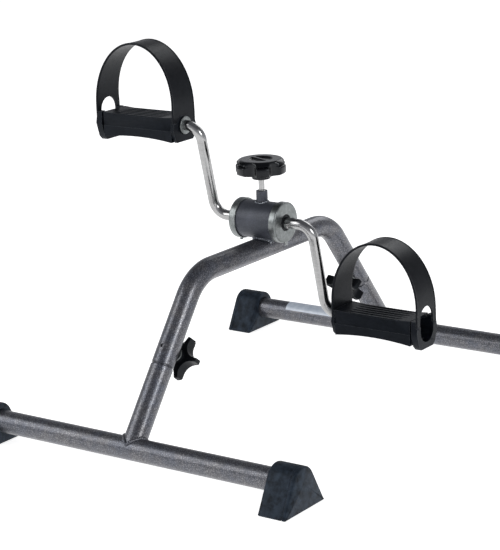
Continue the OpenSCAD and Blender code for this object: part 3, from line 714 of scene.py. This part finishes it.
def screw(length, crest_r, thread_depth, pitch, chamfer, threaded):
    """Radius = crest - depth x wave(height / pitch - angle): a right-hand thread up to threaded."""
    h = np.arange(0, length + pitch / (2 * rows_per_pitch), pitch / rows_per_pitch)
    a = np.linspace(0, TURN, screw_sides, endpoint=False)
    height, angle = np.meshgrid(h, a, indexing="ij")
    wave = 0.5 - 0.5 * np.cos(TURN * height / pitch - angle)
    r = crest_r - thread_depth * wave * np.clip((threaded - height) / pitch, 0, 1)
    ends = np.minimum(height, length - height)
    r = np.minimum(r, crest_r - np.maximum(chamfer - ends, 0))
    return shell(np.stack([height, r * np.cos(angle), r * np.sin(angle)], -1), caps=(True, True))


low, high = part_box("tension_screw")
threaded = boss_high.z + 1.5 * MM - low.z
tension = screw(high.z - low.z, crest_r=2.98 * MM, thread_depth=0.5 * MM, pitch=1.0 * MM,
                chamfer=0.6 * MM, threaded=threaded)
piece("tension_thread", [on_axis(tension, (0, 0, low.z), (0, 0, 1))], finishes["rod_plate"], "tension",
      ["tension_screw"], 60)
clamp_length, clamp_start = 25.5 * MM, 2 * MM
for end, turn in (("front", 1), ("rear", -1)):
    axis = clamp_axis * (1, turn, 1)
    start = clamp_point * (1, turn, 1) - clamp_start * axis
    clamp = screw(clamp_length, crest_r=3.95 * MM, thread_depth=0.6 * MM, pitch=1.25 * MM,
                  chamfer=0.8 * MM, threaded=clamp_length)
    piece(f"{end}_clamp_thread", [on_axis(clamp, start, axis)], finishes["zinc_plate"], f"{end}_clamp",
          [f"{end}_clamp_screw"], 60)

# %% [markdown]
# A pedal is one moulding of ribs, plates and a tread, and its shape is already right in the frame. What it
# lacks is the small radius that a mould leaves on every edge. A copy of its mesh has its loose corners
# merged and its flat faces joined up, and a Bevel modifier then rounds each edge sharper than 35 degrees.
# The original mesh is hidden and stays as it is.

# %% Moulded pedals
merge_dist, flat_angle, bevel_angle, sharp_angle = 0.003 * MM, 1.0, 35, 40


def softened(name, node, radius, material, body):
    """A copy of a node's mesh with its sharp edges rounded by a Bevel modifier."""
    mesh = nodes[node].data.copy()
    mesh.name = name
    work = bmesh.new()
    work.from_mesh(mesh)
    bmesh.ops.remove_doubles(work, verts=work.verts, dist=merge_dist)
    bmesh.ops.dissolve_limit(work, angle_limit=np.radians(flat_angle), verts=work.verts, edges=work.edges)
    work.to_mesh(mesh)
    work.free()
    obj = bpy.data.objects.new(name, mesh)
    bpy.context.scene.collection.objects.link(obj)
    mesh.materials.clear()
    mesh.materials.append(material)
    bevel = obj.modifiers.new("mould_radius", "BEVEL")
    bevel.width = radius
    bevel.segments = 2
    bevel.limit_method = "ANGLE"
    bevel.angle_limit = np.radians(bevel_angle)
    mesh.shade_smooth()
    mesh.set_sharp_from_angle(angle=np.radians(sharp_angle))
    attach(obj, body)
    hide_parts(node)
    print(f"{name}: {len(mesh.polygons)} faces before its bevel")


for side in ("left", "right"):
    softened(f"{side}_pedal", f"{side}_pedal_body", 0.45 * MM, finishes["pedal_plastic"], f"{side}_pedal")

# %% [markdown]
# The foot loop is a moulded band that springs from both ends of the pedal. Its side view is upright up to
# 20 mm and then half an ellipse: x = half length x cos(a), z = 20 + rise x sin(a). Its cross-section is a
# thin loop with a sunk middle and a raised edge line. Near the ends each strand of the band stops at a
# height of its own, and that is what forms the round notch inside and the bullet-shaped window outside.

# %% Foot loop, across
strap_mid, strap_half = 125.5, 49.5
spring_z, apex_z, band_t = 20.0, 82.0, 2.2
lap_z, notch_r, notch_top_z, window_r, window_z = 3.5, 12.0, 9.8, 12.0, 10.0
wide, narrow, taper_z = 18.0, 15.0, 14.0
sunk, edge_round = 0.35, 0.5


def cross_section():
    """Across the band as (share of half width, depth from the outer face), outside then back inside."""
    lip = np.array([(1.0, 0.5), (1 - 0.15 / wide, 0.15), (1 - 0.5 / wide, 0.0), (1 - 1.3 / wide, 0.0),
                    (1 - 1.7 / wide, sunk)])
    window = window_r / wide
    middle = np.r_[np.linspace(0.87, window + 0.012, 4), np.linspace(window - 0.001, -window + 0.001, 25),
                   -np.linspace(window + 0.012, 0.87, 4)]
    across = np.r_[lip[:, 0], middle, -lip[::-1, 0]]
    outer = np.r_[lip[:, 1], np.full(len(middle), sunk), lip[::-1, 1]]
    edge = np.clip((1 - np.abs(across)) * wide / edge_round, 0, 1)
    inner = band_t - edge_round * (1 - edge) ** 2
    return np.r_[across, across[::-1]], np.r_[outer, inner[::-1]]


def low_edges(y):
    """Lowest point of each strand, at the notched inner end and at the windowed outer end."""
    inner = np.clip(np.sqrt(np.maximum(notch_r**2 - y**2, 0)), lap_z, notch_top_z)
    outer = np.where(np.abs(y) < window_r, window_z + np.sqrt(np.maximum(window_r**2 - y**2, 0)), lap_z)
    return inner, outer


print("strands in the band:", len(cross_section()[0]))

# %% [markdown]
# Along the band, each row of points is one cross-section. The rows of the bow follow the half ellipse by
# angle. Those of the two legs follow each strand down to its own lowest height, so that the grid itself
# makes the round openings, with no cutting. A strip of faces then shuts each end.

# %% Foot loop, along
leg_rows, bow_rows, leg_reach = 14, 72, 6


def band():
    """Rows along the band, from its inner end over the apex to its outer end, in the pedal's own axes."""
    share, depth = cross_section()
    half, rise = strap_half - depth, apex_z - spring_z - depth
    leg_a = np.arcsin(leg_reach / (apex_z - spring_z))
    leg_top = spring_z + rise * np.sin(leg_a)
    low_in, low_out = low_edges(share * wide)
    up = np.linspace(0, 1, leg_rows)[:, None]
    leg_in, leg_out = low_in + (leg_top - low_in) * up, low_out + (leg_top - low_out) * up
    bow = np.linspace(np.pi - leg_a, leg_a, bow_rows)[1:-1, None]
    z = np.vstack([leg_in, spring_z + rise * np.sin(bow), leg_out[::-1]])
    x = half * np.sqrt(1 - (np.clip(z - spring_z, 0, None) / rise).clip(0, 1) ** 2)
    x *= np.r_[-np.ones(leg_rows), np.sign(np.cos(bow[:, 0])), np.ones(leg_rows)][:, None]
    width = wide - (wide - narrow) * np.clip((z - taper_z) / (apex_z + 1 - taper_z), 0, 1)
    return np.stack([strap_mid + x, share * width, z], -1) * MM


rows = band()
verts, faces = shell(rows)
count = rows.shape[1]
for start in (0, (len(rows) - 1) * count):
    for i in range(count // 2 - 1):
        strip = [start + i, start + i + 1, start + count - 2 - i, start + count - 1 - i]
        faces.append(strip[::-1] if start else strip)
for side, sign in (("left", -1), ("right", 1)):
    spindle = np.array(joints[f"{side}_pedal_spin"]["pos_m"]) * (0, 1, 1)
    piece(f"{side}_foot_loop", [(verts * (sign, sign, 1) + spindle, faces)], finishes["strap_plastic"],
          f"{side}_pedal", [f"{side}_strap"], 45)

# %% [markdown]
# Shiny metal shows the room more than itself, so the room is designed for it. A pale floor glows a little
# and lights the underside of every tube. The world that is seen is white, but the world that lights and
# mirrors is darker overhead than at the sides, so that blacks stay black. Two soft lamps draw the long
# highlights, a wide one from the left and a narrow one from the right, and a third rims the back.

# %% Soft lamps
def area_light(name, location, target, size, power):
    """A square soft lamp at location, turned to face target."""
    data = bpy.data.lights.new(name, "AREA")
    data.shape = "SQUARE"
    data.size = size
    data.energy = power
    lamp = bpy.data.objects.new(name, data)
    bpy.context.scene.collection.objects.link(lamp)
    lamp.location = location
    aim = Vector(target) - Vector(location)
    lamp.rotation_euler = aim.to_track_quat("-Z", "Y").to_euler()
    print(f"{name}: {power} W at {location}")


middle = (0.0, 0.0, 0.15)
area_light("left_bank", (-1.5, -1.5, 1.3), middle, 1.4, 20.0)
area_light("right_strip", (1.9, -0.55, 1.1), middle, 0.6, 16.0)
area_light("rim", (-0.2, 2.0, 1.5), middle, 1.2, 10.0)

# %% [markdown]
# The floor is one flat grid, much wider than the object. Its tone wanders very slightly, and a weak
# emission keeps it white where the lamps fade, yet leaves the feet their soft contact shadows.

# %% Floor
floor_side, floor_ticks, floor_glow = 6.0, 9, 0.8


def make_floor():
    """A flat grid under the feet: every pair of x and y ticks, at height 0."""
    ticks = np.linspace(-floor_side / 2, floor_side / 2, floor_ticks)
    x, y = np.meshgrid(ticks, ticks, indexing="ij")
    verts = np.stack([x, y, np.zeros_like(x)], -1).reshape(-1, 3)
    faces = grid_faces(floor_ticks, floor_ticks, False, False)[:, ::-1]
    mesh = bpy.data.meshes.new("studio_floor")
    mesh.from_pydata(verts.tolist(), [], faces.tolist())
    floor = bpy.data.objects.new("studio_floor", mesh)
    bpy.context.scene.collection.objects.link(floor)
    f = Finish("pale_floor", Roughness=0.55, Specular_IOR_Level=0.25)
    f.into("Base Color", f.ramp(f.noise(6.0, 2.0), (0.3, 0.86), (0.7, 0.9)))
    f.shader.inputs["Emission Color"].default_value = (1.0, 0.995, 0.99, 1.0)
    f.shader.inputs["Emission Strength"].default_value = floor_glow
    mesh.materials.append(f.mat)
    print("floor:", len(mesh.polygons), "faces")


make_floor()

# %% [markdown]
# The world is a ramp over the height of a direction, pale at the horizon and dark overhead. A Light Path
# node swaps it for plain white where the camera looks straight at it. The Standard view transform is
# chosen, because the default one would turn that white to grey.

# %% World
bpy.context.scene.view_settings.view_transform = "Standard"
horizon, overhead, overhead_from = (0.62, 0.63, 0.66, 1.0), (0.16, 0.165, 0.18, 1.0), 0.75
seen_white = (1.0, 1.0, 1.0, 1.0)
world = bpy.data.worlds.new("studio_world")
bpy.context.scene.world = world
world.use_nodes = True
tree = world.node_tree
look = tree.nodes.new("ShaderNodeTexCoord").outputs["Object"]
height = tree.nodes.new("ShaderNodeSeparateXYZ")
tree.links.new(look, height.inputs["Vector"])
sky = tree.nodes.new("ShaderNodeValToRGB")
tree.links.new(height.outputs["Z"], sky.inputs["Fac"])
sky.color_ramp.elements[0].color = horizon
sky.color_ramp.elements[1].position = overhead_from
sky.color_ramp.elements[1].color = overhead
seen = tree.nodes.new("ShaderNodeLightPath").outputs["Is Camera Ray"]
pick = tree.nodes.new("ShaderNodeMixRGB")
tree.links.new(seen, pick.inputs["Fac"])
tree.links.new(sky.outputs["Color"], pick.inputs["Color1"])
pick.inputs["Color2"].default_value = seen_white
tree.links.new(pick.outputs["Color"], tree.nodes["Background"].inputs["Color"])
print("world:", len(tree.nodes), "nodes")

# %% [markdown]
# The camera stands to the right of the front and a little above, far off with a long lens, as for a
# catalogue picture. The way that it faces is given by azimuth, elevation and a slight roll, so that the
# three numbers can be read and changed.

# %% Camera
azimuth, elevation, roll = np.radians([36.11, 15.16, -2.41])
camera_at = (1.145755, -1.596470, 0.670277)
lens_mm, sensor_mm = 145.74, 36.0
back = Vector((np.sin(azimuth) * np.cos(elevation), -np.cos(azimuth) * np.cos(elevation), np.sin(elevation)))
level = Vector((np.cos(azimuth), np.sin(azimuth), 0.0))
upward = back.cross(level)
right = level * np.cos(roll) + upward * np.sin(roll)
top = upward * np.cos(roll) - level * np.sin(roll)
data = bpy.data.cameras.new("camera")
data.sensor_fit = "HORIZONTAL"
data.sensor_width = sensor_mm
data.lens = lens_mm
camera = bpy.data.objects.new("camera", data)
bpy.context.scene.collection.objects.link(camera)
facing = Matrix((right, top, back)).transposed().to_4x4()
camera.matrix_world = Matrix.Translation(camera_at) @ facing
bpy.context.scene.camera = camera
print("camera at", camera_at, "with a lens of", lens_mm, "mm")
